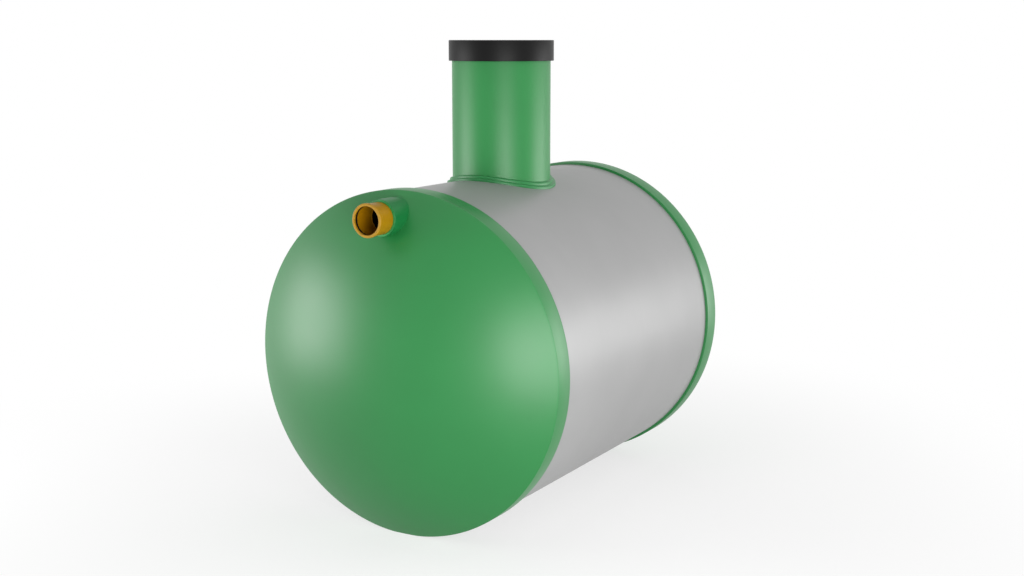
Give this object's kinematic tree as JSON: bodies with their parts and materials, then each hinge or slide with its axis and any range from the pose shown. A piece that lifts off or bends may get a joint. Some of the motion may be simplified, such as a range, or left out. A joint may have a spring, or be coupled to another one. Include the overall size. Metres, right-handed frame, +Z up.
{
  "type": "holding tank",
  "caption": "Horizontal round plastic holding tank with dished ends, an upright neck with a lift-off lid, and a pipe socket high on one end.",
  "frame": {"origin": "on the floor under the middle of the tank, at the level strips that it stands on", "axes": "+Z up, the tank's axis along Y with the inlet end towards -Y, +X to the right seen from the inlet end"},
  "size_m": [1.4, 2.021, 1.9704],
  "materials": {
    "shell_grey": "satin polypropylene sheet",
    "end_green": "satin polypropylene",
    "lid_black": "satin moulded plastic",
    "inlet_orange": "satin extruded pipe",
    "seal_black": "matt rubber"
  },
  "bodies": {
    "tank": {"shell_sheet_top": "shell_grey", "shell_sheet_upper_right": "shell_grey", "shell_sheet_right": "shell_grey", "shell_sheet_lower_right": "shell_grey", "shell_sheet_bottom": "shell_grey", "shell_sheet_lower_left": "shell_grey", "shell_sheet_left": "shell_grey", "shell_sheet_upper_left": "shell_grey", "front_dome": "end_green", "rear_dome": "end_green", "front_band_upper": "end_green", "front_band_lower": "end_green", "rear_band_upper": "end_green", "rear_band_lower": "end_green", "neck_tube": "end_green", "neck_collar_lower": "end_green", "neck_collar_upper": "end_green", "inlet_sleeve": "end_green", "inlet_socket": "inlet_orange", "inlet_seal": "seal_black"},
    "lid": {"lid": "lid_black"}
  },
  "joints": [
    {"name": "lid_lift", "type": "slide", "parent": "tank", "child": "lid", "axis": [0, 0, 1], "range_m": [0, 0.45]}
  ]
}
